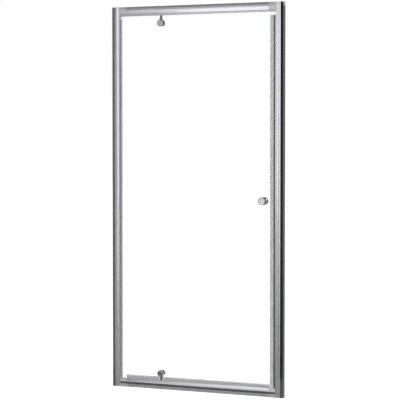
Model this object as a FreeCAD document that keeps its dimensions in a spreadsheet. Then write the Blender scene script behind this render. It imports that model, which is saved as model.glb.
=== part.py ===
import FreeCAD, Part
import Sketcher

import os

# Pivot shower door for an alcove: a glass pane that turns about two pivots set in
# from its edge, in a frame of two posts and two rails between wall channels.
# Millimetres. X runs to the right along the door, Y from the room into the shower,
# Z up. The origin is the middle of the door's foot, in the glass's mid plane.

# Driving dimensions: name, value and what it measures.
SIZES = (
    ("door_width", "900", "wall to wall over both channels"),
    ("door_height", "1850", "tray to the top of the jambs"),
    ("channel_depth", "25", "wall channel, front to back"),
    ("channel_reach", "30", "wall channel, wall to free edge"),
    ("channel_wall", "1.6", "wall channel's thickness"),
    ("channel_round", "1", "wall channel's corner radius"),
    ("channel_show", "13.5", "channel left bare beside the post"),
    ("channel_bead", "1.5", "rise of the channel's sloped front bead"),
    ("wall_hole", "5", "wall screw hole's diameter"),
    ("wall_hole_count", "4", "wall screw holes in each channel"),
    ("wall_hole_end", "120", "first wall screw hole above the tray"),
    ("post_width", "26.5", "post, wall side to opening side"),
    ("post_wall", "1.3", "post's wall thickness"),
    ("post_nose", "2.3", "rise of the post's round front"),
    ("post_lip", "6.5", "width of the lip beside the opening"),
    ("lip_depth", "23", "lip, front to back"),
    ("slide_gap", "0.4", "clearance of the post over the channel"),
    ("top_height", "45", "top rail's height"),
    ("top_round", "12", "top rail's upper front radius"),
    ("top_belly", "60", "top rail's front radius"),
    ("top_foot", "9", "height of the top rail's straight foot"),
    ("foot_set", "3", "top rail's foot behind its front"),
    ("bottom_height", "42", "bottom rail's height"),
    ("plinth_height", "16", "bottom rail's plinth"),
    ("nose_height", "28", "bottom rail's nose above the tray"),
    ("nose_edge", "2", "height of the nose's front edge"),
    ("plinth_set", "2", "plinth behind the nose"),
    ("undercut", "8", "depth of the groove under the nose"),
    ("slope_radius", "34", "bottom rail's sloped front"),
    ("crown_front", "7", "rail's level top before the glass plane"),
    ("crown_back", "8", "rail's level top behind the glass plane"),
    ("back_fall", "4", "fall of the rail's back edge"),
    ("rail_front", "14.5", "rails' front before the glass plane"),
    ("rail_back", "13", "rails' back behind the glass plane"),
    ("rail_wall", "1.8", "rails' wall thickness"),
    ("corner_length", "34", "corner joint between post and rail"),
    ("spigot_length", "14", "corner joint's spigot in the rail"),
    ("seat_gap", "0.2", "clearance of pieces seated in hollows"),
    ("cap_thick", "1.5", "jamb cap's plate"),
    ("plug_depth", "8", "jamb cap's plug in the post"),
    ("plug_wall", "1.5", "jamb cap plug's wall"),
    ("corner_screw", "4", "corner screw's shank diameter"),
    ("corner_screw_long", "18", "corner screw's shank"),
    ("corner_screw_pitch", "16", "between a corner's screws"),
    ("corner_screw_count", "2", "screws in each corner"),
    ("fixing_screw", "3.9", "adjustment screw's shank diameter"),
    ("fixing_screw_long", "8", "adjustment screw's shank"),
    ("fixing_count", "3", "adjustment screws on each jamb"),
    ("fixing_end", "200", "first adjustment screw above the tray"),
    ("head_ratio", "2", "screw head to shank diameter"),
    ("head_thick", "2.2", "pan head's height"),
    ("snap_cap", "12", "snap cap's diameter"),
    ("snap_cap_wall", "0.8", "snap cap's wall"),
    ("glass_thick", "5", "glass pane"),
    ("glass_round", "3", "glass pane's corner radius"),
    ("glass_gap_top", "15", "top rail down to the glass"),
    ("glass_gap_foot", "13", "bottom rail up to the glass"),
    ("door_gap", "0.4", "closed door's edges to the posts"),
    ("pivot_inset", "220", "pivot axis to the hinge post"),
    ("clamp_size", "33", "clamp disc's diameter"),
    ("clamp_thick", "14", "clamp disc's thickness"),
    ("clamp_edge", "3", "clamp disc's outer edge chamfer"),
    ("clamp_inset", "22", "clamp's centre from the glass's edge"),
    ("gasket_thick", "1", "gasket between disc and glass"),
    ("clamp_screw", "5", "clamping screw's diameter"),
    ("clamp_thread", "8", "clamping screw's hold in the front disc"),
    ("clamp_head", "3", "clamping screw's head height"),
    ("stem_size", "13", "pivot stem's diameter"),
    ("stem_gap", "0.5", "stem clear of the clamp discs"),
    ("pin_size", "6", "pivot pin's diameter"),
    ("pin_long", "12", "pivot pin beyond its stem"),
    ("lug_thick", "4.6", "pivot lug between the discs"),
    ("lug_wide", "14", "pivot lug's width"),
    ("notch_gap", "1", "glass notch around the lug"),
    ("bush_wall", "2", "pivot bush's wall"),
    ("bush_flange", "1.5", "bush flange's reach beyond its barrel"),
    ("bush_flange_thick", "1", "bush flange's thickness"),
    ("bush_long", "14", "bush's barrel"),
    ("running_gap", "0.05", "pin's radial clearance in the bush"),
    ("thrust_gap", "0.3", "pivot stem's shoulder to the flange"),
    ("block_long", "44", "pivot block along the rail"),
    ("block_high", "12", "top pivot block's height"),
    ("knob_size", "38", "knob's diameter"),
    ("knob_deep", "19", "knob's depth before its washer"),
    ("knob_neck", "28", "knob's neck diameter"),
    ("knob_neck_long", "4", "knob's neck"),
    ("knob_flare", "2", "knob's flare from neck to rim"),
    ("knob_edge", "1", "knob's face edge chamfer"),
    ("knob_inset", "66", "knob's axis to the closing post"),
    ("knob_height", "921", "knob's axis above the tray"),
    ("knob_washer", "1", "washer under the knob"),
    ("stud_size", "6", "knob stud's diameter"),
    ("stud_hold", "11", "stud's reach into each knob"),
    ("stud_gap", "0.1", "stud's radial clearance"),
    ("hole_gap", "2", "glass hole's radial clearance on studs"),
    ("seal_wall", "1", "seal's leg thickness"),
    ("seal_grip", "20", "seal's legs over the glass"),
    ("seal_drop", "12", "upright seals' foot below the pane"),
    ("magnet_wide", "10", "magnet core along the door"),
    ("magnet_deep", "8", "magnet core, front to back"),
    ("magnet_cover", "0.8", "seal's wall round the magnet core"),
    ("strike_deep", "5", "strike magnet's groove in the post"),
    ("strike_wide", "10", "strike magnet, front to back"),
    ("hinge_seal_wide", "10", "hinge-side seal over the pane's edge"),
    ("drip_grip", "7", "drip seal's legs over the glass"),
    ("fin_thick", "1", "drip seal's fin"),
    ("fin_gap", "0.4", "drip seal's fin above the bottom rail"),
    ("fin_lean", "4", "drip seal's fin towards the shower"),
    ("drip_start", "28", "drip seal from the pane's hinge edge"),
    ("drip_break", "20", "drip seal's break at the pivot"),
)

DOC = FreeCAD.newDocument("pivot_shower_door")
SHEET = DOC.addObject("Spreadsheet::Sheet", "Sizes")
NODES = []


class Length:
    """A size that carries its number and the live expression behind it."""

    def __init__(self, number, text):
        self.number = number
        self.text = text

    def __add__(self, other):
        other = length(other)
        return Length(self.number + other.number, f"({self.text} + {other.text})")

    def __sub__(self, other):
        other = length(other)
        return Length(self.number - other.number, f"({self.text} - {other.text})")

    def __mul__(self, other):
        other = length(other)
        return Length(self.number * other.number, f"({self.text} * {other.text})")

    def __truediv__(self, other):
        other = length(other)
        return Length(self.number / other.number, f"({self.text} / {other.text})")

    def __neg__(self):
        return Length(-self.number, f"(-1 * {self.text})")


def length(value):
    """Give a plain number the form of a Length."""
    if isinstance(value, Length):
        return value
    return Length(float(value), str(value))


def fill_sheet():
    """Write the driving dimensions and return them as named Lengths."""
    for row, (alias, value, note) in enumerate(SIZES, start=1):
        SHEET.set(f"A{row}", alias)
        SHEET.set(f"B{row}", value)
        SHEET.set(f"C{row}", note)
        SHEET.setAlias(f"B{row}", alias)
    DOC.recompute()
    return {
        alias: Length(float(SHEET.get(alias)), f"Sizes.{alias}")
        for alias, value, note in SIZES
    }


class Named:
    """Attribute access to the driving dimensions."""

    def __init__(self, values):
        self.__dict__.update(values)


S = Named(fill_sheet())
HALF = length(0.5)
ZERO = length(0)


# ---------------------------------------------------------------- building tools


def new_body(label):
    """Start a sub-part whose label names its node."""
    body = DOC.addObject("PartDesign::Body", label)
    body.Label = label
    NODES.append(body)
    return body


def place(body, x=ZERO, y=ZERO, z=ZERO):
    """Put a body's own origin at a point of the door's frame."""
    for axis, value in (("x", x), ("y", y), ("z", z)):
        body.setExpression(f"Placement.Base.{axis}", length(value).text)


def origin_feature(body, role):
    """The body's own origin plane or axis with this role."""
    return next(item for item in body.Origin.OriginFeatures if item.Role == role)


def new_sketch(body, plane):
    """A sketch on one of the body's origin planes: XY, XZ or YZ."""
    sketch = body.newObject("Sketcher::SketchObject", f"{body.Name}_sketch")
    sketch.AttachmentSupport = [(origin_feature(body, f"{plane}_Plane"), "")]
    sketch.MapMode = "FlatFace"
    return sketch


def bind(sketch, kind, *where, value):
    """Add one dimension to the sketch and tie it to its expression."""
    index = sketch.addConstraint(Sketcher.Constraint(kind, *where, value.number))
    sketch.setExpression(f"Constraints[{index}]", value.text)


def pin_point(sketch, line, end, x, y):
    """Dimension one end of a line or arc from the sketch's origin."""
    bind(sketch, "DistanceX", line, end, value=x)
    bind(sketch, "DistanceY", line, end, value=y)


def vector(x, y):
    return FreeCAD.Vector(x.number, y.number, 0)


def arc_between(start, end, radius, side):
    """The short arc of this radius from start to end, bulging to one side.

    side is 1 when the arc bulges to the right of the way from start to end.
    """
    chord = end - start
    half = chord.Length / 2
    outward = FreeCAD.Vector(chord.y, -chord.x, 0).normalize() * side
    rise = radius - max(radius * radius - half * half, 0) ** 0.5
    return Part.Arc(start, (start + end) / 2 + outward * rise, end)


def rounded(x, y, radius):
    """A corner of an outline between a level and an upright side."""
    return {"x": length(x), "y": length(y), "radius": radius}


def point(x, y):
    """A sharp corner of an outline."""
    return {"x": length(x), "y": length(y), "radius": None}


def bulge(radius, side=1):
    """An arc from the last corner of an outline to the next one."""
    return {"arc": radius, "side": side}


def toward(corner, other):
    """Unit steps along X and Y from an outline's corner to its neighbour."""
    across = other["x"].number - corner["x"].number
    along = other["y"].number - corner["y"].number
    if abs(across) > abs(along):
        return (1 if across > 0 else -1), 0
    return 0, (1 if along > 0 else -1)


def unfold(steps):
    """Turn rounded corners into pairs of points with an arc between them."""
    corners = [step for step in steps if "x" in step]
    ends = []
    for step in steps:
        if "arc" in step or step["radius"] is None:
            ends.append(step)
            continue
        index = next(i for i, corner in enumerate(corners) if corner is step)
        before = toward(step, corners[index - 1])
        after = toward(step, corners[(index + 1) % len(corners)])
        radius = step["radius"]
        turn = before[1] * after[0] - before[0] * after[1]
        ends.append(point(step["x"] + radius * before[0], step["y"] + radius * before[1]))
        ends.append(bulge(radius, 1 if turn > 0 else -1))
        ends.append(point(step["x"] + radius * after[0], step["y"] + radius * after[1]))
    return ends


def trace(sketch, steps):
    """Draw a closed outline of straight sides and arcs, fully dimensioned."""
    steps = unfold(steps)
    corners = [step for step in steps if "x" in step]
    arcs = {}
    for index, step in enumerate(steps):
        if "arc" in step:
            before = sum(1 for item in steps[:index] if "x" in item) - 1
            arcs[before] = step
    joints = []
    for index, corner in enumerate(corners):
        start = vector(corner["x"], corner["y"])
        following = corners[(index + 1) % len(corners)]
        end = vector(following["x"], following["y"])
        if index in arcs:
            radius = length(arcs[index]["arc"])
            curve = arc_between(start, end, radius.number, arcs[index]["side"])
            line = sketch.addGeometry(curve)
            bind(sketch, "Radius", line, value=radius)
        else:
            line = sketch.addGeometry(Part.LineSegment(start, end))
        first = 1 if (sketch.getPoint(line, 1) - start).Length < 1e-6 else 2
        joints.append((line, first, 3 - first))
    for index, (line, first, last) in enumerate(joints):
        pin_point(sketch, line, first, corners[index]["x"], corners[index]["y"])
        next_line, next_first, next_last = joints[(index + 1) % len(joints)]
        sketch.addConstraint(Sketcher.Constraint("Coincident", line, last, next_line, next_first))


def box_outline(left, right, low, high):
    """Corners of an upright rectangle."""
    return [point(left, low), point(right, low), point(right, high), point(left, high)]


def ring(sketch, x, y, diameter):
    """Draw a dimensioned circle."""
    x, y, radius = length(x), length(y), length(diameter) * HALF
    circle = Part.Circle(vector(x, y), FreeCAD.Vector(0, 0, 1), radius.number)
    line = sketch.addGeometry(circle)
    pin_point(sketch, line, 3, x, y)
    bind(sketch, "Radius", line, value=radius)


def finish(body, feature):
    """Make a feature the body's result and build it."""
    body.Tip = feature
    DOC.recompute()
    return feature


def pad(body, sketch, height, backward=False, middle=False):
    """Extrude a sketch along its plane's normal."""
    feature = body.newObject("PartDesign::Pad", f"{body.Name}_pad")
    feature.Profile = sketch
    feature.setExpression("Length", length(height).text)
    feature.Reversed = backward
    if middle:
        feature.SideType = "Symmetric"
    return finish(body, feature)


def revolve(body, sketch):
    """Turn a sketch a full turn about its upright axis."""
    feature = body.newObject("PartDesign::Revolution", f"{body.Name}_turned")
    feature.Profile = sketch
    feature.ReferenceAxis = (sketch, ["V_Axis"])
    feature.Angle = 360
    return finish(body, feature)


def cut(body, sketch):
    """Pocket a sketch right through the body, both ways."""
    before = body.Shape.Volume
    feature = body.newObject("PartDesign::Pocket", f"{body.Name}_cut")
    feature.Profile = sketch
    feature.Type = "ThroughAll"
    feature.SideType = "Symmetric"
    finish(body, feature)
    check_cut(body, before)
    return feature


def sink(body, sketch, depth, backward=False):
    """Pocket a sketch to a depth."""
    before = body.Shape.Volume
    feature = body.newObject("PartDesign::Pocket", f"{body.Name}_sunk")
    feature.Profile = sketch
    feature.setExpression("Length", length(depth).text)
    feature.Reversed = backward
    finish(body, feature)
    check_cut(body, before)
    return feature


def check_cut(body, before):
    """A cut has to take something away."""
    if body.Shape.Volume >= before:
        raise ValueError(f"a cut in {body.Label} took nothing away")


def repeat(body, feature, axis, spacing, count):
    """Repeat a feature along one of the body's axes."""
    pattern = body.newObject("PartDesign::LinearPattern", f"{body.Name}_row")
    pattern.Originals = [feature]
    pattern.Direction = (origin_feature(body, f"{axis}_Axis"), [""])
    pattern.Mode = "Spacing"
    pattern.setExpression("Offset", length(spacing).text)
    pattern.setExpression("Occurrences", length(count).text)
    return finish(body, pattern)


# ------------------------------------------------------ sizes that follow others

half_width = S.door_width * HALF
channel_half = S.channel_depth * HALF
post_half = channel_half + S.slide_gap + S.post_wall
post_far = S.channel_show + S.post_width
opening_half = half_width - post_far
rail_half = opening_half - S.corner_length
top_under = S.door_height - S.top_height
jamb_height = S.door_height - S.cap_thick
cavity_end = post_far - S.post_lip - S.post_wall

pivot_x = -(opening_half - S.pivot_inset)
knob_x = opening_half - S.knob_inset
pane_foot = S.bottom_height + S.glass_gap_foot
pane_top = top_under - S.glass_gap_top
pane_height = pane_top - pane_foot
seal_reach = S.magnet_wide + S.magnet_cover * 2
pane_left = -(opening_half - S.door_gap - S.seal_wall)
pane_right = opening_half - S.door_gap - seal_reach
pane_half = S.glass_thick * HALF
clamp_top = pane_top - S.clamp_inset
clamp_foot = pane_foot + S.clamp_inset
notch_wide = S.lug_wide + S.notch_gap * 2
bush_out = S.pin_size + (S.running_gap + S.bush_wall) * 2
bush_seat = bush_out + S.seat_gap
wall_hole_pitch = (S.door_height - S.wall_hole_end * 2) / (S.wall_hole_count - 1)
fixing_pitch = (S.door_height - S.fixing_end * 2) / (S.fixing_count - 1)
fixing_x = (S.channel_show + S.channel_reach) * HALF
web_depth = post_far - cavity_end
disc_face = pane_half + S.gasket_thick
knob_face = pane_half + S.knob_washer


# ------------------------------------------------------------------------- jambs


def wall_channel(side, name):
    """U section screwed to the wall, mouth towards the door."""
    body = new_body(f"wall_channel_{name}")
    sketch = new_sketch(body, "XY")
    back = S.channel_wall * -side
    reach = S.channel_reach * -side
    bead = (S.channel_show - S.slide_gap) * -side
    inner = channel_half - S.channel_wall
    trace(sketch, [
        rounded(0, -channel_half, S.channel_round),
        point(bead, -channel_half - S.channel_bead),
        point(bead, -channel_half),
        point(reach, -channel_half),
        point(reach, -inner),
        point(back, -inner),
        point(back, inner),
        point(reach, inner),
        point(reach, channel_half),
        rounded(0, channel_half, S.channel_round),
    ])
    pad(body, sketch, jamb_height)
    holes = new_sketch(body, "YZ")
    ring(holes, 0, S.wall_hole_end, S.wall_hole)
    repeat(body, cut(body, holes), "Z", wall_hole_pitch, S.wall_hole_count)
    fixing_holes(body, side)
    place(body, x=half_width * side)


def fixing_holes(body, side):
    """Holes for the adjustment screws in the inner flank."""
    holes = new_sketch(body, "XZ")
    ring(holes, fixing_x * -side, S.fixing_end, S.fixing_screw + S.seat_gap * 2)
    row = sink(body, holes, post_half + S.seat_gap)
    repeat(body, row, "Z", fixing_pitch, S.fixing_count)


def nose_radius(width, rise):
    """Radius of an arc of this chord and rise."""
    half = width * HALF
    return (half * half + rise * rise) / (rise * 2)


def jamb_front(side):
    """Front of the post's section, from the wall side to the opening."""
    lip_edge = post_far - S.post_lip
    radius = nose_radius(S.post_width - S.post_lip, S.post_nose)
    return [
        point(S.channel_show * -side, -post_half),
        bulge(radius, -side),
        point(lip_edge * -side, -post_half),
        point(lip_edge * -side, -S.lip_depth * HALF),
        point(post_far * -side, -S.lip_depth * HALF),
    ]


def jamb_back(side):
    """Back of the post's section, from the opening to the wall side."""
    lip_edge = post_far - S.post_lip
    return [
        point(post_far * -side, S.lip_depth * HALF),
        point(lip_edge * -side, S.lip_depth * HALF),
        point(lip_edge * -side, post_half),
        point(S.channel_show * -side, post_half),
    ]


def post(side, name, groove):
    """Round-nosed extrusion that sleeves over the wall channel."""
    body = new_body(f"post_{name}")
    sketch = new_sketch(body, "XY")
    mouth = channel_half + S.slide_gap
    magnet_half = S.strike_wide * HALF + S.seat_gap
    groove_end = post_far - S.strike_deep - S.seat_gap
    magnet_groove = [
        point(post_far * -side, -magnet_half),
        point(groove_end * -side, -magnet_half),
        point(groove_end * -side, magnet_half),
        point(post_far * -side, magnet_half),
    ]
    trace(
        sketch,
        jamb_front(side)
        + (magnet_groove if groove else [])
        + jamb_back(side)
        + [
            point(S.channel_show * -side, mouth),
            point(cavity_end * -side, mouth),
            point(cavity_end * -side, -mouth),
            point(S.channel_show * -side, -mouth),
        ],
    )
    if not groove:
        chamber_half = S.lip_depth * HALF - S.post_wall
        chamber_near = cavity_end + S.post_wall
        chamber_far = post_far - S.post_wall
        trace(sketch, box_outline(chamber_near * -side, chamber_far * -side, -chamber_half, chamber_half))
    pad(body, sketch, jamb_height)
    fixing_holes(body, side)
    holes = new_sketch(body, "YZ")
    for middle in (S.bottom_height * HALF, top_under + S.top_height * HALF):
        for step in (-HALF, HALF):
            height = middle + S.corner_screw_pitch * step
            ring(holes, 0, height, S.corner_screw + S.seat_gap * 2)
    cut(body, holes)
    place(body, x=half_width * side)


def jamb_cap(side, name):
    """Moulded cap that closes the top of a post and its channel."""
    body = new_body(f"jamb_cap_{name}")
    plate = new_sketch(body, "XY")
    trace(
        plate,
        [
            point(0, channel_half),
            point(0, -channel_half),
            point(S.channel_show * -side, -channel_half - S.channel_bead),
        ]
        + jamb_front(side)
        + jamb_back(side)
        + [point(S.channel_show * -side, channel_half)],
    )
    pad(body, plate, S.cap_thick)
    plug = new_sketch(body, "XY")
    near = S.channel_wall + S.seat_gap
    far = cavity_end - S.head_thick - S.seat_gap
    out = channel_half - S.channel_wall - S.seat_gap
    for start, end, low, high in (
        (near, far, -out, S.plug_wall - out),
        (near, far, out - S.plug_wall, out),
    ):
        trace(plug, box_outline(start * -side, end * -side, low, high))
    pad(body, plug, S.plug_depth, backward=True)
    place(body, x=half_width * side, z=jamb_height)


# ------------------------------------------------------------------------- rails


def top_section():
    """Outline of the top rail: round upper front, full belly, set-back foot."""
    return [
        point(S.rail_back, 0),
        point(S.rail_back, S.top_height),
        point(S.top_round - S.rail_front, S.top_height),
        bulge(S.top_round),
        point(-S.rail_front, S.top_height - S.top_round),
        bulge(S.top_belly),
        point(-S.rail_front, S.top_foot),
        point(S.foot_set - S.rail_front, S.top_foot),
        point(S.foot_set - S.rail_front, 0),
    ]


def top_hollow(wall):
    """The top rail's hollow, this far inside its outline."""
    foot_front = S.foot_set + wall - S.rail_front
    return [
        rounded(wall - S.rail_front, S.top_height - wall, S.top_round - wall),
        point(S.rail_back - wall, S.top_height - wall),
        point(S.rail_back - wall, wall),
        point(foot_front, wall),
        point(foot_front, S.top_foot + wall),
        point(wall - S.rail_front, S.top_foot + wall),
    ]


def bottom_section():
    """Outline of the bottom rail: plinth, undercut, nose and sloped front."""
    plinth_front = S.plinth_set - S.rail_front
    nose_under = S.nose_height - S.nose_edge
    return [
        point(S.rail_back, 0),
        point(S.rail_back, S.bottom_height - S.back_fall),
        point(S.crown_back, S.bottom_height),
        point(-S.crown_front, S.bottom_height),
        bulge(S.slope_radius),
        point(-S.rail_front, S.nose_height),
        point(-S.rail_front, nose_under),
        point(plinth_front + S.undercut, nose_under),
        point(plinth_front + S.undercut, S.plinth_height),
        point(plinth_front, S.plinth_height),
        point(plinth_front, 0),
    ]


def slope_inside(height, wall):
    """How far before the glass plane the sloped front's inside is at a height."""
    fall = (S.rail_front - S.crown_front) / (S.bottom_height - S.nose_height)
    across = wall * (fall * HALF + 1)
    return across - S.crown_front - (S.bottom_height - height) * fall


def bottom_upper_hollow(wall, floor):
    """The bottom rail's upper hollow above a floor, this far inside its outline."""
    ceiling = S.bottom_height - wall
    return [
        point(slope_inside(floor, wall), floor),
        point(slope_inside(ceiling, wall), ceiling),
        point(S.crown_back - wall * HALF, ceiling),
        point(S.rail_back - wall, ceiling - S.back_fall),
    ]


def bottom_hollow(wall):
    """The bottom rail's whole hollow, this far inside its outline."""
    plinth_inside = S.plinth_set + wall - S.rail_front
    waist = plinth_inside + S.undercut
    nose_floor = S.nose_height - S.nose_edge + wall
    return bottom_upper_hollow(wall, nose_floor) + [
        point(S.rail_back - wall, wall),
        point(plinth_inside, wall),
        point(plinth_inside, S.plinth_height - wall),
        point(waist, S.plinth_height - wall),
        point(waist, nose_floor),
    ]


def rail(label, section, hollow, height, bush_height):
    """Hollow extrusion between two corner joints, with a hole for the bush."""
    body = new_body(label)
    sketch = new_sketch(body, "YZ")
    trace(sketch, section)
    trace(sketch, hollow)
    pad(body, sketch, rail_half * 2, middle=True)
    hole = new_sketch(body, "XY")
    ring(hole, pivot_x, 0, bush_seat)
    sink(body, hole, bush_height, backward=True)
    place(body, z=height)


def corner_joint(side, label, section, spigot, height, screw_middle):
    """Moulded joint between post and rail, with a spigot in the rail."""
    body = new_body(label)
    right = side > 0
    outside = new_sketch(body, "YZ")
    trace(outside, section)
    pad(body, outside, S.corner_length, backward=right)
    inside = new_sketch(body, "YZ")
    trace(inside, spigot)
    pad(body, inside, S.corner_length + S.spigot_length, backward=right)
    holes = new_sketch(body, "YZ")
    for step in (-HALF, HALF):
        hole_height = screw_middle + S.corner_screw_pitch * step
        ring(holes, 0, hole_height, S.corner_screw + S.seat_gap)
    sink(body, holes, S.corner_screw_long - web_depth + S.seat_gap, backward=not right)
    place(body, x=opening_half * side, z=height)


def turned(label, plane, steps):
    """A piece of revolution: its axis is Y for plane XY and Z for plane XZ."""
    body = new_body(label)
    sketch = new_sketch(body, plane)
    trace(sketch, steps)
    revolve(body, sketch)
    return body


def screw_outline(shank, long, side=1):
    """Half section of a pan-head screw: head before its seat, shank beyond."""
    shank_radius = shank * HALF
    head_radius = shank_radius * S.head_ratio
    return [
        point(0, S.head_thick * -side),
        point(head_radius, S.head_thick * -side),
        point(head_radius, 0),
        point(shank_radius, 0),
        point(shank_radius, long * side),
        point(0, long * side),
    ]


def corner_screws(side, label, middle):
    """Two screws through the post's web into a corner joint."""
    body = turned(label, "XY", screw_outline(S.corner_screw, S.corner_screw_long))
    repeat(body, body.Tip, "Z", S.corner_screw_pitch, S.corner_screw_count)
    quarter = FreeCAD.Rotation(FreeCAD.Vector(0, 0, 1), 90 * side)
    body.Placement = FreeCAD.Placement(FreeCAD.Vector(), quarter)
    seat = (half_width - cavity_end) * side
    place(body, x=seat, z=middle - S.corner_screw_pitch * HALF)


def fixing_screws(side, name):
    """Screws that lock the post to the wall channel, from the shower side."""
    outline = screw_outline(S.fixing_screw, S.fixing_screw_long, side=-1)
    body = turned(f"fixing_screws_{name}", "XY", outline)
    repeat(body, body.Tip, "Z", fixing_pitch, S.fixing_count)
    place(body, x=(half_width - fixing_x) * side, y=post_half, z=S.fixing_end)


def snap_caps(side, name):
    """Thin caps over the heads of the adjustment screws."""
    radius = S.snap_cap * HALF
    inside = radius - S.snap_cap_wall
    depth = S.head_thick + S.seat_gap
    body = turned(f"snap_caps_{name}", "XY", [
        point(inside, 0),
        point(radius, 0),
        point(radius, depth),
        point(inside, depth + S.snap_cap_wall),
        point(0, depth + S.snap_cap_wall),
        point(0, depth),
        point(inside, depth),
    ])
    repeat(body, body.Tip, "Z", fixing_pitch, S.fixing_count)
    place(body, x=(half_width - fixing_x) * side, y=post_half, z=S.fixing_end)


def strike_magnet():
    """Magnet strip in the closing post, from rail to rail."""
    body = new_body("strike_magnet")
    sketch = new_sketch(body, "XY")
    half = S.strike_wide * HALF
    trace(sketch, box_outline(0, S.strike_deep, -half, half))
    pad(body, sketch, top_under - S.bottom_height)
    place(body, x=opening_half, z=S.bottom_height)


# ------------------------------------------------------------------ pivot bearings


def pivot_bush(label, height, side):
    """Flanged bush: its flange lies on the rail and its barrel runs into it."""
    bore = S.pin_size * HALF + S.running_gap
    barrel = bush_out * HALF
    body = turned(label, "XZ", [
        point(bore, S.bush_flange_thick * -side),
        point(barrel + S.bush_flange, S.bush_flange_thick * -side),
        point(barrel + S.bush_flange, 0),
        point(barrel, 0),
        point(barrel, S.bush_long * side),
        point(bore, S.bush_long * side),
    ])
    place(body, x=pivot_x, z=height)


def pivot_block(label, section, height):
    """Moulded block in the rail's hollow that holds the bush."""
    body = new_body(label)
    sketch = new_sketch(body, "YZ")
    trace(sketch, section)
    pad(body, sketch, S.block_long, middle=True)
    bore = new_sketch(body, "XY")
    ring(bore, 0, 0, bush_seat)
    cut(body, bore)
    place(body, x=pivot_x, z=height)


def pivot_stem(label, height, side, rail_gap):
    """Stem with the pin at its end and the lug that the discs clamp."""
    start = S.clamp_size * HALF + S.stem_gap
    end = S.clamp_inset + rail_gap - S.bush_flange_thick - S.thrust_gap
    pin_end = end + S.pin_long
    stem = S.stem_size * HALF
    pin = S.pin_size * HALF
    body = turned(label, "XZ", [
        point(0, start * side),
        point(stem, start * side),
        point(stem, end * side),
        point(pin, end * side),
        point(pin, pin_end * side),
        point(0, pin_end * side),
    ])
    lug = new_sketch(body, "XZ")
    half = S.lug_wide * HALF
    trace(lug, [
        point(-half, (start + S.stem_gap) * side),
        point(-half, 0),
        bulge(half, -side),
        point(0, half * -side),
        bulge(half, -side),
        point(half, 0),
        point(half, (start + S.stem_gap) * side),
    ])
    pad(body, lug, S.lug_thick, middle=True)
    hole = new_sketch(body, "XZ")
    ring(hole, 0, 0, S.clamp_screw + S.seat_gap * 2)
    cut(body, hole)
    place(body, x=pivot_x, z=height)


def clamp(name, height):
    """Two discs with gaskets that clamp the lug and the glass, and their screw."""
    radius = S.clamp_size * HALF
    shank = S.clamp_screw * HALF
    bore = shank + S.stud_gap
    outside = disc_face + S.clamp_thick
    thread_end = disc_face + S.clamp_thread + S.seat_gap
    head = shank * S.head_ratio
    head_seat = outside - S.clamp_head
    front = turned(f"{name}_clamp_front", "XY", [
        point(bore, -disc_face),
        point(radius, -disc_face),
        point(radius, S.clamp_edge - outside),
        point(radius - S.clamp_edge, -outside),
        point(0, -outside),
        point(0, -thread_end),
        point(bore, -thread_end),
    ])
    back = turned(f"{name}_clamp_back", "XY", [
        point(bore, disc_face),
        point(radius, disc_face),
        point(radius, outside - S.clamp_edge),
        point(radius - S.clamp_edge, outside),
        point(head + S.seat_gap, outside),
        point(head + S.seat_gap, head_seat),
        point(bore, head_seat),
    ])
    screw = turned(f"{name}_clamp_screw", "XY", [
        point(0, -disc_face - S.clamp_thread),
        point(shank, -disc_face - S.clamp_thread),
        point(shank, head_seat),
        point(head, head_seat),
        point(head, outside - S.seat_gap),
        point(0, outside - S.seat_gap),
    ])
    for body in (front, back, screw):
        place(body, x=pivot_x, z=height)
    for side, face in ((-1, "front"), (1, "back")):
        washer(f"{name}_gasket_{face}", side, bore, radius - S.gasket_thick, S.gasket_thick)
        place(NODES[-1], x=pivot_x, z=height)


def washer(label, side, hole, radius, thick):
    """Flat ring on one face of the glass."""
    near = pane_half * side
    far = (pane_half + thick) * side
    turned(label, "XY", [
        point(hole, near),
        point(radius, near),
        point(radius, far),
        point(hole, far),
    ])


# -------------------------------------------------------------------------- door


def glass_pane():
    """The pane, with an edge notch at each pivot and a hole for the knob."""
    body = new_body("glass_pane")
    sketch = new_sketch(body, "XZ")
    half = notch_wide * HALF
    left = pivot_x - half
    right = pivot_x + half
    depth = S.clamp_inset
    trace(sketch, [
        rounded(pane_left, 0, S.glass_round),
        point(left, 0),
        point(left, depth),
        bulge(half, -1),
        point(pivot_x, depth + half),
        bulge(half, -1),
        point(right, depth),
        point(right, 0),
        rounded(pane_right, 0, S.glass_round),
        rounded(pane_right, pane_height, S.glass_round),
        point(right, pane_height),
        point(right, pane_height - depth),
        bulge(half, -1),
        point(pivot_x, pane_height - depth - half),
        bulge(half, -1),
        point(left, pane_height - depth),
        point(left, pane_height),
        rounded(pane_left, pane_height, S.glass_round),
    ])
    pad(body, sketch, S.glass_thick, middle=True)
    hole = new_sketch(body, "XZ")
    ring(hole, knob_x, S.knob_height - pane_foot, S.stud_size + S.hole_gap * 2)
    cut(body, hole)
    place(body, z=pane_foot)


def knob(name, side):
    """Half of the knob pair: neck, flare and rim with a flat face."""
    rim = S.knob_size * HALF
    neck = S.knob_neck * HALF
    bore = S.stud_size * HALF + S.stud_gap
    neck_end = knob_face + S.knob_neck_long
    face = knob_face + S.knob_deep
    hold = knob_face + S.stud_hold
    body = turned(f"knob_{name}", "XY", [
        point(bore, knob_face * side),
        point(neck, knob_face * side),
        point(neck, neck_end * side),
        point(rim, (neck_end + S.knob_flare) * side),
        point(rim, (face - S.knob_edge) * side),
        point(rim - S.knob_edge, face * side),
        point(0, face * side),
        point(0, hold * side),
        point(bore, hold * side),
    ])
    place(body, x=knob_x, z=S.knob_height)
    washer(f"knob_washer_{name}", side, bore, neck, S.knob_washer)
    place(NODES[-1], x=knob_x, z=S.knob_height)


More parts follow.
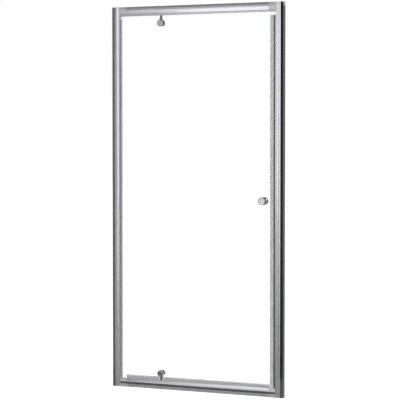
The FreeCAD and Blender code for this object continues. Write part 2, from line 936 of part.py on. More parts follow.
def knob_stud():
    """Stud through the glass that joins the two knobs."""
    reach = knob_face + S.stud_hold - S.seat_gap
    radius = S.stud_size * HALF
    body = turned("knob_stud", "XY", [
        point(0, -reach),
        point(radius, -reach),
        point(radius, reach),
        point(0, reach),
    ])
    place(body, x=knob_x, z=S.knob_height)


def closing_seal():
    """Clear strip on the closing edge, with a case for its magnet core."""
    body = new_body("closing_seal")
    sketch = new_sketch(body, "XY")
    leg = pane_half + S.seal_wall
    core = S.magnet_deep * HALF
    case = core + S.magnet_cover
    trace(sketch, [
        point(-S.seal_grip, pane_half),
        point(-S.seal_grip, leg),
        point(0, leg),
        point(0, case),
        point(seal_reach, case),
        point(seal_reach, -case),
        point(0, -case),
        point(0, -leg),
        point(-S.seal_grip, -leg),
        point(-S.seal_grip, -pane_half),
        point(0, -pane_half),
        point(0, pane_half),
    ])
    core_end = S.magnet_cover + S.magnet_wide
    trace(sketch, box_outline(S.magnet_cover, core_end, -core, core))
    pad(body, sketch, pane_height + S.seal_drop)
    place(body, x=pane_right, z=pane_foot - S.seal_drop)
    magnet = new_body("closing_magnet")
    section = new_sketch(magnet, "XY")
    half = core - S.seat_gap
    wide = S.magnet_wide - S.seat_gap * 2
    trace(section, box_outline(0, wide, -half, half))
    pad(magnet, section, pane_height + S.seal_drop)
    place(magnet, x=pane_right + S.magnet_cover + S.seat_gap, z=pane_foot - S.seal_drop)


def hinge_seal():
    """Clear strip over the pane's edge beside the hinge post."""
    body = new_body("hinge_seal")
    sketch = new_sketch(body, "XY")
    leg = pane_half + S.seal_wall
    end = S.hinge_seal_wide - S.seal_wall
    trace(sketch, [
        point(-S.seal_wall, leg),
        point(end, leg),
        point(end, pane_half),
        point(0, pane_half),
        point(0, -pane_half),
        point(end, -pane_half),
        point(end, -leg),
        point(-S.seal_wall, -leg),
    ])
    pad(body, sketch, pane_height + S.seal_drop)
    place(body, x=pane_left, z=pane_foot - S.seal_drop)


def drip_seal(label, start, end):
    """Clear strip under the pane with a fin that sheds water into the shower."""
    body = new_body(label)
    sketch = new_sketch(body, "YZ")
    leg = pane_half + S.seal_wall
    tip = S.fin_gap - S.glass_gap_foot
    root = S.fin_lean * -HALF
    trace(sketch, [
        point(-leg, S.drip_grip),
        point(-leg, -S.seal_wall),
        point(root, -S.seal_wall),
        point(root + S.fin_lean, tip),
        point(root + S.fin_lean + S.fin_thick, tip),
        point(root + S.fin_thick, -S.seal_wall),
        point(leg, -S.seal_wall),
        point(leg, S.drip_grip),
        point(pane_half, S.drip_grip),
        point(pane_half, 0),
        point(-pane_half, 0),
        point(-pane_half, S.drip_grip),
    ])
    pad(body, sketch, end - start)
    place(body, x=start, z=pane_foot)


# ---------------------------------------------------------------------- assembly

top_screws = S.top_height * HALF
foot_screws = S.bottom_height * HALF
spigot_wall = S.rail_wall + S.seat_gap
block_floor = S.nose_height - S.nose_edge + spigot_wall

for hand, where in ((-1, "left"), (1, "right")):
    wall_channel(hand, where)
    post(hand, where, groove=hand > 0)
    jamb_cap(hand, where)
    fixing_screws(hand, where)
    snap_caps(hand, where)
    corner_joint(hand, f"corner_joint_top_{where}", top_section(), top_hollow(spigot_wall),
                 top_under, top_screws)
    corner_joint(hand, f"corner_joint_bottom_{where}", bottom_section(),
                 bottom_hollow(spigot_wall), ZERO, foot_screws)
    corner_screws(hand, f"corner_screws_top_{where}", top_under + top_screws)
    corner_screws(hand, f"corner_screws_bottom_{where}", foot_screws)

strike_magnet()
rail("top_rail", top_section(), top_hollow(S.rail_wall), top_under, S.top_foot)
rail("bottom_rail", bottom_section(), bottom_hollow(S.rail_wall), ZERO, S.bottom_height)
pivot_bush("top_pivot_bush", top_under, 1)
pivot_bush("bottom_pivot_bush", S.bottom_height, -1)
top_block_front = S.foot_set + spigot_wall - S.rail_front
top_block_back = S.rail_back - spigot_wall
pivot_block(
    "top_pivot_block",
    box_outline(top_block_front, top_block_back, spigot_wall, spigot_wall + S.block_high),
    top_under,
)
pivot_block(
    "bottom_pivot_block",
    bottom_upper_hollow(spigot_wall, block_floor) + [point(top_block_back, block_floor)],
    ZERO,
)

glass_pane()
pivot_stem("top_pivot_stem", clamp_top, 1, S.glass_gap_top)
pivot_stem("bottom_pivot_stem", clamp_foot, -1, S.glass_gap_foot)
clamp("top", clamp_top)
clamp("bottom", clamp_foot)
knob("front", -1)
knob("back", 1)
knob_stud()
closing_seal()
hinge_seal()
drip_seal("drip_seal_short", pane_left + S.drip_start, pivot_x - S.drip_break * HALF)
drip_seal("drip_seal_long", pivot_x + S.drip_break * HALF, pane_right - S.seal_grip - S.seat_gap)


# -------------------------------------------------------------------- the output


def check_document():
    """Stop where an object of the document has failed."""
    for item in DOC.Objects:
        if "Invalid" in item.State or "Error" in item.State:
            raise ValueError(f"{item.Label} failed: {item.State}")


def write_nodes():
    """Check every sub-part's shape and write it to its own file."""
    os.makedirs("parts", exist_ok=True)
    for body in NODES:
        shape = body.Shape
        if shape.isNull() or not shape.isValid():
            raise ValueError(f"{body.Label} has no valid shape")
        shape.exportStep(os.path.join("parts", f"{body.Label}.step"))


DOC.recompute()
check_document()
write_nodes()
print(len(NODES), "sub-parts written")
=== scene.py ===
"""Finishes, turned pieces and studio for a framed pivot shower door. Metres, in the row frame."""

import logging
import math
from dataclasses import dataclass
from enum import Enum
from typing import Any, Iterable, Sequence

import bmesh
import bpy
from mathutils import Matrix, Vector

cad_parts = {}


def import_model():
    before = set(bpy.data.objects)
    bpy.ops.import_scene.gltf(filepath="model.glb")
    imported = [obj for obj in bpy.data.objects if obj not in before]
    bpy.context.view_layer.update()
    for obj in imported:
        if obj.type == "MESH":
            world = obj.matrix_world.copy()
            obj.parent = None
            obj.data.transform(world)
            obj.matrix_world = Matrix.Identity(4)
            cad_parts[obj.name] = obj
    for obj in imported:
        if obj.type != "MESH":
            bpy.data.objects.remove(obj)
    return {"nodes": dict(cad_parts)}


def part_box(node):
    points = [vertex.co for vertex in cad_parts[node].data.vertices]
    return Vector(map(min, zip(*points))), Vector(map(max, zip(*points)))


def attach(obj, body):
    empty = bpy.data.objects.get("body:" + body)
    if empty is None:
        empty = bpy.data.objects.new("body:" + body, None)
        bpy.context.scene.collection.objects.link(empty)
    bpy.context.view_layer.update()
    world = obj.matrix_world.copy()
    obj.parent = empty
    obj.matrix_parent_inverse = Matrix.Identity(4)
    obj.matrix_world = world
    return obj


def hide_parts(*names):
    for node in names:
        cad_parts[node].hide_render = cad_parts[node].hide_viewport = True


LOG = logging.getLogger("pivot_door")
MM = 0.001

# The part of a noise pattern's range that holds nearly all of its values, and its finer layers.
PATTERN_LOW = 0.3
PATTERN_HIGH = 0.7
PATTERN_DETAIL = 3.0

# The sockets of a Mix node that is set to colours: its two inputs and its result.
MIX_DARK = 6
MIX_LIGHT = 7
MIX_RESULT = 2

# Where a ramp's new stop stands until it gets its own place.
NEW_STOP = 0.5

# The places along a rounded corner, and the most of a profile's line that one corner takes.
CURVE_SHARES = (0.0, 0.2, 0.4, 0.6, 0.8, 1.0)
CORNER_SHARE = 0.49

# A ring with a smaller radius is a point.
POINT_RADIUS = 1e-7

Colour = tuple[float, float, float]
Point = tuple[float, float, float]


class Run(Enum):
    """The direction in which a profile was drawn, as a pattern's scale along X, Y and Z."""

    UPRIGHT = (1.0, 1.0, 0.012)
    LEVEL = (0.012, 1.0, 1.0)
    NONE = (1.0, 1.0, 1.0)


class Tree:
    """A node tree that is filled node by node."""

    def __init__(self, owner: bpy.types.Material | bpy.types.World) -> None:
        """Empties the owner's tree.

        Args:
            owner: The material or the world that has the tree.
        """
        owner.use_nodes = True
        self.tree = owner.node_tree
        self.tree.nodes.clear()

    def add(
        self, kind: str, inputs: dict[Any, Any] | None = None, **settings: Any
    ) -> bpy.types.Node:
        """Adds a node, sets its options and fills its sockets.

        Args:
            kind: The node's type without its ShaderNode prefix.
            inputs: Socket name or number, and a value or the socket that feeds it.
            **settings: Options of the node itself.

        Returns:
            The new node.
        """
        node = self.tree.nodes.new("ShaderNode" + kind)
        for option, value in settings.items():
            setattr(node, option, value)
        for socket, value in (inputs or {}).items():
            if isinstance(value, bpy.types.NodeSocket):
                self.tree.links.new(value, node.inputs[socket])
            else:
                node.inputs[socket].default_value = value
        return node

    def background(self) -> bpy.types.NodeSocket:
        """Finds the rays that show the background as it is.

        Returns:
            1 for camera, glossy and transmission rays, and 0 for the rest.
        """
        rays = self.add("LightPath").outputs
        near = self.add(
            "Math", {0: rays["Is Camera Ray"], 1: rays["Is Glossy Ray"]}, operation="MAXIMUM"
        )
        either = self.add(
            "Math", {0: near.outputs[0], 1: rays["Is Transmission Ray"]}, operation="MAXIMUM"
        )
        return either.outputs[0]


class Recipe(Tree):
    """The node tree of one material, with a call for each kind of node that the finishes use."""

    def __init__(self, name: str) -> None:
        """Starts an empty material.

        Args:
            name: The material's name.
        """
        self.material = bpy.data.materials.new(name)
        super().__init__(self.material)

    def grain(self, size: float, run: Run = Run.NONE) -> bpy.types.NodeSocket:
        """Makes a fine pattern in the object's own metres.

        Args:
            size: The grain's size across, in metres.
            run: The direction along which the grain is drawn out.

        Returns:
            The pattern's value, from 0 to 1.
        """
        place = self.add("TexCoord")
        stretch = self.add("Mapping", {"Vector": place.outputs["Object"], "Scale": run.value})
        noise = self.add(
            "TexNoise",
            {"Vector": stretch.outputs[0], "Scale": 1.0 / size, "Detail": PATTERN_DETAIL},
        )
        return noise.outputs["Fac"]

    def coordinate(self, axis: str) -> bpy.types.NodeSocket:
        """Reads where a spot lies on the object.

        Args:
            axis: The letter of the axis.

        Returns:
            The coordinate, in the object's own metres.
        """
        place = self.add("TexCoord")
        return self.add("SeparateXYZ", {0: place.outputs["Object"]}).outputs[axis]

    def spread(
        self, value: bpy.types.NodeSocket, low: float, high: float
    ) -> bpy.types.NodeSocket:
        """Maps the middle of a pattern onto a range.

        Args:
            value: The pattern's value.
            low: The result where the pattern is dark.
            high: The result where the pattern is light.

        Returns:
            The mapped value.
        """
        ranged = self.add(
            "MapRange",
            {
                "Value": value,
                "From Min": PATTERN_LOW,
                "From Max": PATTERN_HIGH,
                "To Min": low,
                "To Max": high,
            },
        )
        return ranged.outputs["Result"]

    def blend(
        self, share: bpy.types.NodeSocket, dark: Colour, light: Colour
    ) -> bpy.types.NodeSocket:
        """Mixes two colours.

        Args:
            share: How much of the light colour there is.
            dark: The colour at 0.
            light: The colour at 1.

        Returns:
            The mixed colour.
        """
        mix = self.add(
            "Mix",
            {"Factor": share, MIX_DARK: (*dark, 1.0), MIX_LIGHT: (*light, 1.0)},
            data_type="RGBA",
        )
        return mix.outputs[MIX_RESULT]

    def tint(
        self, value: bpy.types.NodeSocket, dark: Colour, light: Colour
    ) -> bpy.types.NodeSocket:
        """Turns a pattern into a colour between two tones.

        Args:
            value: The pattern's value.
            dark: The colour where the pattern is dark.
            light: The colour where the pattern is light.

        Returns:
            The mixed colour.
        """
        return self.blend(self.spread(value, 0.0, 1.0), dark, light)

    def relief(
        self, value: bpy.types.NodeSocket, depth: float, strength: float
    ) -> bpy.types.NodeSocket:
        """Turns a pattern into a shallow relief.

        Args:
            value: The pattern's value.
            depth: The relief's depth in metres.
            strength: How strongly the relief shows.

        Returns:
            The bumped normal.
        """
        bump = self.add("Bump", {"Height": value, "Distance": depth, "Strength": strength})
        return bump.outputs["Normal"]

    def surface(self, inputs: dict[Any, Any]) -> bpy.types.Node:
        """Adds the main shader.

        Args:
            inputs: The shader's sockets and their values or feeds.

        Returns:
            The shader's node.
        """
        return self.add("BsdfPrincipled", inputs)

    def close(self, shader: bpy.types.NodeSocket) -> bpy.types.Material:
        """Joins a shader to the output.

        Args:
            shader: The socket of the last shader.

        Returns:
            The finished material.
        """
        self.add("OutputMaterial", {"Surface": shader})
        return self.material


@dataclass(frozen=True)
class Aluminium:
    """Satin anodised aluminium with faint drawing lines along the profile."""

    name: str
    run: Run
    dark: Colour = (0.87, 0.87, 0.9)
    light: Colour = (0.94, 0.94, 0.97)
    smooth: float = 0.22
    rough: float = 0.32
    depth: float = 0.01 * MM
    strength: float = 0.25
    line: float = 0.9 * MM
    cloud: float = 60 * MM

    def make(self) -> bpy.types.Material:
        """Builds the material.

        Returns:
            The finished material.
        """
        recipe = Recipe(self.name)
        lines = recipe.grain(self.line, self.run)
        cloud = recipe.grain(self.cloud, self.run)
        shader = recipe.surface(
            {
                "Base Color": recipe.tint(cloud, self.dark, self.light),
                "Metallic": 1.0,
                "Roughness": recipe.spread(lines, self.smooth, self.rough),
                "Normal": recipe.relief(lines, self.depth, self.strength),
            }
        )
        return recipe.close(shader.outputs[0])


@dataclass(frozen=True)
class Chrome:
    """Polished chrome plate with a faint orange-peel and finer buffing marks."""

    name: str = "polished_chrome"
    dark: Colour = (0.56, 0.57, 0.585)
    light: Colour = (0.64, 0.65, 0.665)
    smooth: float = 0.05
    rough: float = 0.12
    depth: float = 0.03 * MM
    strength: float = 0.2
    peel: float = 5 * MM
    mark: float = 0.5 * MM

    def make(self) -> bpy.types.Material:
        """Builds the material.

        Returns:
            The finished material.
        """
        recipe = Recipe(self.name)
        peel = recipe.grain(self.peel)
        marks = recipe.grain(self.mark)
        shader = recipe.surface(
            {
                "Base Color": recipe.tint(peel, self.dark, self.light),
                "Metallic": 1.0,
                "Roughness": recipe.spread(marks, self.smooth, self.rough),
                "Normal": recipe.relief(peel, self.depth, self.strength),
            }
        )
        return recipe.close(shader.outputs[0])


@dataclass(frozen=True)
class Moulding:
    """Injection-moulded plastic with a spark-eroded texture."""

    name: str
    dark: Colour
    light: Colour
    metallic: float = 0.0
    smooth: float = 0.34
    rough: float = 0.5
    depth: float = 0.03 * MM
    strength: float = 0.35
    texture: float = 0.35 * MM
    flow: float = 14 * MM

    def make(self) -> bpy.types.Material:
        """Builds the material.

        Returns:
            The finished material.
        """
        recipe = Recipe(self.name)
        pitting = recipe.grain(self.texture)
        flow = recipe.grain(self.flow)
        shader = recipe.surface(
            {
                "Base Color": recipe.tint(flow, self.dark, self.light),
                "Metallic": self.metallic,
                "Roughness": recipe.spread(pitting, self.smooth, self.rough),
                "Normal": recipe.relief(pitting, self.depth, self.strength),
            }
        )
        return recipe.close(shader.outputs[0])


@dataclass(frozen=True)
class ZincPlate:
    """Bright zinc-plated steel with a slightly uneven passivated film."""

    name: str = "zinc_steel"
    dark: Colour = (0.52, 0.53, 0.56)
    light: Colour = (0.66, 0.66, 0.64)
    smooth: float = 0.28
    rough: float = 0.46
    depth: float = 0.02 * MM
    strength: float = 0.3
    film: float = 2.5 * MM
    scratch: float = 0.3 * MM

    def make(self) -> bpy.types.Material:
        """Builds the material.

        Returns:
            The finished material.
        """
        recipe = Recipe(self.name)
        film = recipe.grain(self.film)
        scratches = recipe.grain(self.scratch)
        shader = recipe.surface(
            {
                "Base Color": recipe.tint(film, self.dark, self.light),
                "Metallic": 1.0,
                "Roughness": recipe.spread(scratches, self.smooth, self.rough),
                "Normal": recipe.relief(scratches, self.depth, self.strength),
            }
        )
        return recipe.close(shader.outputs[0])


@dataclass(frozen=True)
class Glass:
    """Clear toughened glass whose ground edges show the green of its depth.

    A spot farther than the skin from the pane's middle plane is on a face, the rest is edge.
    """

    name: str = "clear_glass"
    face: Colour = (0.995, 1.0, 0.998)
    edge: Colour = (0.6, 0.8, 0.74)
    skin: float = 2.45 * MM
    ground: float = 0.22
    index: float = 1.5
    shade: Colour = (0.95, 0.97, 0.96)

    def make(self) -> bpy.types.Material:
        """Builds the material.

        Returns:
            The finished material.
        """
        recipe = Recipe(self.name)
        across = recipe.add("Math", {0: recipe.coordinate("Y")}, operation="ABSOLUTE")
        flat = recipe.add(
            "Math", {0: across.outputs[0], 1: self.skin}, operation="GREATER_THAN"
        ).outputs[0]
        frost = recipe.add("MapRange", {"Value": flat, "To Min": self.ground, "To Max": 0.0})
        shader = recipe.surface(
            {
                "Base Color": recipe.blend(flat, self.edge, self.face),
                "Roughness": frost.outputs["Result"],
                "Transmission Weight": 1.0,
                "IOR": self.index,
            }
        )
        path = recipe.add("LightPath")
        clear = recipe.add("BsdfTransparent", {"Color": (*self.shade, 1.0)})
        mix = recipe.add(
            "MixShader",
            {0: path.outputs["Is Shadow Ray"], 1: shader.outputs[0], 2: clear.outputs[0]},
        )
        return recipe.close(mix.outputs[0])


@dataclass(frozen=True)
class Band:
    """How a seal's cloudiness changes across its section.

    It has an axis, the two ends on it, and the shares of the full cloudiness between them.
    """

    axis: str
    start: float
    stop: float
    shares: tuple[tuple[float, float], ...]

    def across(self, recipe: Recipe) -> bpy.types.NodeSocket:
        """Reads the share at a place.

        Args:
            recipe: The tree in which it is read.

        Returns:
            The share of the full cloudiness.
        """
        along = recipe.add(
            "MapRange",
            {
                "Value": recipe.coordinate(self.axis),
                "From Min": self.start,
                "From Max": self.stop,
            },
        )
        ramp = recipe.add("ValToRGB", {"Fac": along.outputs["Result"]})
        stops = ramp.color_ramp.elements
        while len(stops) < len(self.shares):
            stops.new(NEW_STOP)
        for stop, (position, share) in zip(stops, self.shares):
            stop.position = position
            stop.color = (share, share, share, 1.0)
        return ramp.outputs["Color"]


@dataclass(frozen=True)
class SoftSeal:
    """Clear grey flexible strip, slightly clouded and finely lined along its length."""

    name: str
    run: Run
    band: Band
    dark: Colour = (0.36, 0.38, 0.37)
    light: Colour = (0.46, 0.48, 0.47)
    thin: float = 0.24
    thick: float = 0.34
    smooth: float = 0.2
    rough: float = 0.36
    depth: float = 0.05 * MM
    strength: float = 0.3
    line: float = 0.6 * MM
    cloud: float = 25 * MM

    def make(self) -> bpy.types.Material:
        """Builds the material.

        Returns:
            The finished material.
        """
        recipe = Recipe(self.name)
        lines = recipe.grain(self.line, self.run)
        cloud = recipe.grain(self.cloud)
        murk = recipe.add(
            "Math",
            {0: recipe.spread(cloud, self.thin, self.thick), 1: self.band.across(recipe)},
            operation="MULTIPLY",
        )
        shader = recipe.surface(
            {
                "Base Color": recipe.tint(cloud, self.dark, self.light),
                "Roughness": recipe.spread(lines, self.smooth, self.rough),
                "Alpha": murk.outputs[0],
                "Normal": recipe.relief(lines, self.depth, self.strength),
            }
        )
        return recipe.close(shader.outputs[0])


CLOSING_BAND = Band(
    "X", 378 * MM, 409.6 * MM, ((0.0, 0.3), (0.12, 1.0), (0.62, 1.0), (0.67, 0.3))
)
HINGE_BAND = Band("X", -409.6 * MM, -399.6 * MM, ((0.0, 0.6), (0.7, 1.0), (1.0, 0.3)))
DRIP_BAND = Band("Z", 42 * MM, 62 * MM, ((0.0, 1.0), (0.63, 1.0), (0.66, 0.42), (1.0, 0.2)))


def new_object(name: str, mesh: bpy.types.Mesh, finish: bpy.types.Material) -> bpy.types.Object:
    """Puts a mesh with its finish into the scene.

    Args:
        name: The object's name.
        mesh: Its mesh, in the row frame.
        finish: Its material.

    Returns:
        The new object.
    """
    mesh.materials.append(finish)
    piece = bpy.data.objects.new(name, mesh)
    bpy.context.scene.collection.objects.link(piece)
    return piece


@dataclass(frozen=True)
class Step:
    """One corner of a turned profile.

    It has a place along the axis, a radius, an easing, and a number of sides if it isn't round.
    """

    along: float
    radius: float
    ease: float = 0.0
    sides: int = 0


@dataclass(frozen=True)
class Turning:
    """A profile that is turned round an axis."""

    foot: Point
    axis: Point
    steps: tuple[Step, ...]
    segments: int = 72

    def eased(self) -> list[Step]:
        """Rounds the profile's corners.

        Returns:
            The profile with a short curve at each eased corner.
        """
        smooth: list[Step] = []
        for index, step in enumerate(self.steps):
            if step.ease <= 0.0 or index in (0, len(self.steps) - 1):
                smooth.append(step)
                continue
            here = Vector((step.along, step.radius))
            ends = []
            for other in (self.steps[index - 1], self.steps[index + 1]):
                way = Vector((other.along, other.radius)) - here
                taken = min(step.ease, way.length * CORNER_SHARE)
                ends.append(here + way.normalized() * taken)
            for share in CURVE_SHARES:
                rest = 1 - share
                curve = ends[0] * rest**2 + here * 2 * share * rest + ends[1] * share**2
                smooth.append(Step(curve.x, curve.y, 0.0, step.sides))
        return smooth

    def reach(self, step: Step, angle: float) -> float:
        """Finds the radius of a step at an angle, for round and for sided steps."""
        if not step.sides:
            return step.radius
        wedge = 2 * math.pi / step.sides
        return step.radius * math.cos(wedge / 2) / math.cos(angle % wedge - wedge / 2)

    def add_to(self, shape: bmesh.types.BMesh) -> None:
        """Adds the turned form to a mesh in the making.

        Args:
            shape: The mesh that receives it.
        """
        turn = Vector(self.axis).to_track_quat("Z", "Y").to_matrix().to_4x4()
        place = Matrix.Translation(self.foot) @ turn
        rings: list[list[bmesh.types.BMVert]] = []
        for step in self.eased():
            if step.radius <= POINT_RADIUS:
                rings.append([shape.verts.new(place @ Vector((0.0, 0.0, step.along)))])
                continue
            ring = []
            for index in range(self.segments):
                angle = 2 * math.pi * index / self.segments
                radius = self.reach(step, angle)
                spot = Vector((radius * math.cos(angle), radius * math.sin(angle), step.along))
                ring.append(shape.verts.new(place @ spot))
            rings.append(ring)
        for low, high in zip(rings, rings[1:]):
            self.bridge(shape, low, high)

    def bridge(
        self,
        shape: bmesh.types.BMesh,
        low: list[bmesh.types.BMVert],
        high: list[bmesh.types.BMVert],
    ) -> None:
        """Closes the band between two rings, either of which may be a point.

        Args:
            shape: The mesh in the making.
            low: The first ring.
            high: The second ring.
        """
        if len(low) == 1 and len(high) == 1:
            return
        for index in range(self.segments):
            after = (index + 1) % self.segments
            if len(low) == 1:
                corners = (low[0], high[index], high[after])
            elif len(high) == 1:
                corners = (low[index], high[0], low[after])
            else:
                corners = (low[index], high[index], high[after], low[after])
            shape.faces.new(corners)


def turned_piece(
    name: str,
    turnings: Iterable[Turning],
    finish: bpy.types.Material,
    sharp: float = 32.0,
) -> bpy.types.Object:
    """Makes one piece of one or several turned forms.

    Args:
        name: The piece's name.
        turnings: The forms.
        finish: The piece's material.
        sharp: The angle in degrees above which an edge stays crisp.

    Returns:
        The new piece.
    """
    mesh = bpy.data.meshes.new(name)
    shape = bmesh.new()
    for turning in turnings:
        turning.add_to(shape)
    bmesh.ops.recalc_face_normals(shape, faces=shape.faces[:])
    shape.to_mesh(mesh)
    shape.free()
    mesh.shade_smooth()
    mesh.set_sharp_from_angle(angle=math.radians(sharp))
    return new_object(name, mesh, finish)


def settle(piece: bpy.types.Object, body: str, slot: str, *nodes: str) -> None:
    """Ties a new piece to its body and to the CAD nodes that it stands for.

    Args:
        piece: The new piece.
        body: The CAD body with which it moves.
        slot: The material slot of the record; not used.
        *nodes: The CAD nodes that it replaces.
    """
    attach(piece, body)
    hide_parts(*nodes)
    LOG.info("%s: %d faces, for %s", piece.name, len(piece.data.polygons), ", ".join(nodes))


@dataclass(frozen=True)
class Knob:
    """One half of the door knob: neck, flared body, a groove behind the rim and a dished face."""

    node: str
    side: int
    neck: float = 17.2 * MM
    neck_long: float = 1.6 * MM
    flare: float = 0.8 * MM
    bore: float = 3.1 * MM
    bore_deep: float = 11.1 * MM
    body_inset: float = 0.3 * MM
    groove: float = 0.45 * MM
    groove_back: tuple[float, float, float, float] = (4.4 * MM, 4.1 * MM, 3.7 * MM, 3.4 * MM)
    ring: float = 3.2 * MM
    dish: float = 5.0 * MM
    dish_deep: float = 0.5 * MM
    middle_deep: float = 0.8 * MM
    foot_ease: float = 0.3 * MM
    body_ease: float = 0.5 * MM
    groove_ease: float = 0.2 * MM
    floor_ease: float = 0.1 * MM
    rim_ease: float = 1.5 * MM
    ring_ease: float = 0.8 * MM
    dish_ease: float = 1.0 * MM

    def build(self, finish: bpy.types.Material) -> bpy.types.Object:
        """Turns the knob.

        Args:
            finish: Its material.

        Returns:
            The knob's object.
        """
        low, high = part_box(self.node)
        rim = (high.x - low.x) / 2
        near, far = sorted((abs(low.y), abs(high.y)))
        deep = far - near
        foot = ((low.x + high.x) / 2, self.side * near, (low.z + high.z) / 2)
        belly = self.neck_long + self.flare
        body = rim - self.body_inset
        floor = body - self.groove
        groove = [deep - back for back in self.groove_back]
        steps = (
            Step(self.bore_deep, 0.0),
            Step(self.bore_deep, self.bore),
            Step(0.0, self.bore),
            Step(0.0, self.neck, self.foot_ease),
            Step(self.neck_long, self.neck, self.body_ease),
            Step(belly, body, self.body_ease),
            Step(groove[0], body, self.groove_ease),
            Step(groove[1], floor, self.floor_ease),
            Step(groove[2], floor, self.floor_ease),
            Step(groove[3], rim, self.groove_ease),
            Step(deep, rim, self.rim_ease),
            Step(deep, rim - self.ring, self.ring_ease),
            Step(deep - self.dish_deep, rim - self.dish, self.dish_ease),
            Step(deep - self.middle_deep, 0.0),
        )
        turning = Turning(foot, (0.0, self.side, 0.0), steps)
        piece = turned_piece(f"{self.node}_turned", [turning], finish)
        settle(piece, "door", "polished_chrome", self.node)
        return piece


@dataclass(frozen=True)
class ClampDisc:
    """A pivot's clamping disc with a softly rounded rim.

    The front one has a shallow recess, and the back one is bored for its screw's head.
    """

    end: str
    face: str
    side: int
    foot_ease: float = 0.3 * MM
    rim_ease: float = 7.0 * MM
    bore: float = 2.6 * MM
    bore_deep: float = 8.0 * MM
    recess: float = 8.0 * MM
    recess_ease: float = 1.0 * MM
    recess_deep: float = 0.25 * MM
    floor: float = 7.2 * MM
    floor_ease: float = 0.6 * MM
    head: float = 5.2 * MM
    head_ease: float = 0.3 * MM
    head_deep: float = 3.2 * MM

    def build(self, finish: bpy.types.Material) -> bpy.types.Object:
        """Turns the disc.

        Args:
            finish: Its material.

        Returns:
            The disc's object.
        """
        node = f"{self.end}_clamp_{self.face}"
        low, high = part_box(node)
        rim = (high.x - low.x) / 2
        near, far = sorted((abs(low.y), abs(high.y)))
        deep = far - near
        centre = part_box(f"{self.end}_clamp_screw")
        middle = (centre[0] + centre[1]) / 2
        foot = (middle.x, self.side * near, middle.z)
        dome = (
            Step(0.0, rim, self.foot_ease),
            Step(deep, rim, self.rim_ease),
        )
        if self.face == "front":
            steps = (
                Step(self.bore_deep, 0.0),
                Step(self.bore_deep, self.bore),
                Step(0.0, self.bore),
                *dome,
                Step(deep, self.recess, self.recess_ease),
                Step(deep - self.recess_deep, self.floor, self.floor_ease),
                Step(deep - self.recess_deep, 0.0),
            )
        else:
            steps = (
                Step(deep - self.head_deep, self.bore),
                Step(0.0, self.bore),
                *dome,
                Step(deep, self.head, self.head_ease),
                Step(deep - self.head_deep, self.head),
                Step(deep - self.head_deep, self.bore),
            )
        turning = Turning(foot, (0.0, self.side, 0.0), steps)
        piece = turned_piece(f"{node}_turned", [turning], finish)
        settle(piece, "door", "polished_chrome", node)
        return piece


@dataclass(frozen=True)
class ClampScrew:
    """The screw that draws a pivot's discs together, with a hexagon socket in its head."""

    end: str
    shank: float = 2.5 * MM
    tip: float = 0.4 * MM
    tip_long: float = 0.5 * MM
    tip_ease: float = 0.1 * MM
    head: float = 5.0 * MM
    head_thick: float = 3.0 * MM
    seat_ease: float = 0.2 * MM
    head_ease: float = 0.5 * MM
    socket: float = 1.7 * MM
    socket_sides: int = 6
    socket_deep: float = 1.8 * MM
    socket_point: float = 2.2 * MM
    sharp: float = 25.0

    def build(self, finish: bpy.types.Material) -> bpy.types.Object:
        """Turns the screw.

        Args:
            finish: Its material.

        Returns:
            The screw's object.
        """
        node = f"{self.end}_clamp_screw"
        low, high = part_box(node)
        long = high.y - low.y
        foot = ((low.x + high.x) / 2, low.y, (low.z + high.z) / 2)
        steps = (
            Step(0.0, 0.0),
            Step(0.0, self.shank - self.tip),
            Step(self.tip_long, self.shank, self.tip_ease),
            Step(long - self.head_thick, self.shank),
            Step(long - self.head_thick, self.head, self.seat_ease),
            Step(long, self.head, self.head_ease),
            Step(long, self.socket, 0.0, self.socket_sides),
            Step(long - self.socket_deep, self.socket, 0.0, self.socket_sides),
            Step(long - self.socket_point, 0.0),
        )
        turning = Turning(foot, (0.0, 1.0, 0.0), steps)
        piece = turned_piece(f"{node}_socketed", [turning], finish, self.sharp)
        settle(piece, "door", "zinc_steel", node)
        return piece


@dataclass(frozen=True)
class SnapCaps:
    """The domed caps over one jamb's adjustment screws, on the shower side.

    Shoulder and crown are shares of the rim's radius, and the floor is a share of the pip's.
    """

    side: str
    count: int = 3
    segments: int = 48
    wall: float = 0.8 * MM
    wall_ease: float = 0.2 * MM
    dome: float = 1.2 * MM
    dome_ease: float = 0.9 * MM
    shoulder: float = 0.66
    shoulder_drop: float = 0.25
    shoulder_ease: float = 1.2 * MM
    crown: float = 0.34
    crown_ease: float = 0.8 * MM
    pip: float = 1.4 * MM
    pip_deep: float = 0.2 * MM
    pip_ease: float = 0.2 * MM
    floor: float = 0.7
    floor_ease: float = 0.1 * MM

    def build(self, finish: bpy.types.Material) -> bpy.types.Object:
        """Turns the caps, each with a shallow dimple where the moulding was fed.

        Args:
            finish: Their material.

        Returns:
            The caps' object.
        """
        node = f"snap_caps_{self.side}"
        low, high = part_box(node)
        rim = (high.x - low.x) / 2
        deep = high.y - low.y
        first = low.z + rim
        pitch = (high.z - low.z - 2 * rim) / (self.count - 1)
        steps = (
            Step(deep - self.wall, 0.0),
            Step(deep - self.wall, rim - self.wall, self.wall_ease),
            Step(0.0, rim - self.wall),
            Step(0.0, rim),
            Step(deep - self.dome, rim, self.dome_ease),
            Step(deep - self.dome * self.shoulder_drop, rim * self.shoulder, self.shoulder_ease),
            Step(deep, rim * self.crown, self.crown_ease),
            Step(deep, self.pip, self.pip_ease),
            Step(deep - self.pip_deep, self.pip * self.floor, self.floor_ease),
            Step(deep - self.pip_deep, 0.0),
        )
        middle = (low.x + high.x) / 2
        caps = [
            Turning(
                (middle, low.y, first + pitch * index), (0.0, 1.0, 0.0), steps, self.segments
            )
            for index in range(self.count)
        ]
        piece = turned_piece(f"{node}_domed", caps, finish)
        settle(piece, "frame", "grey_moulding", node)
        return piece


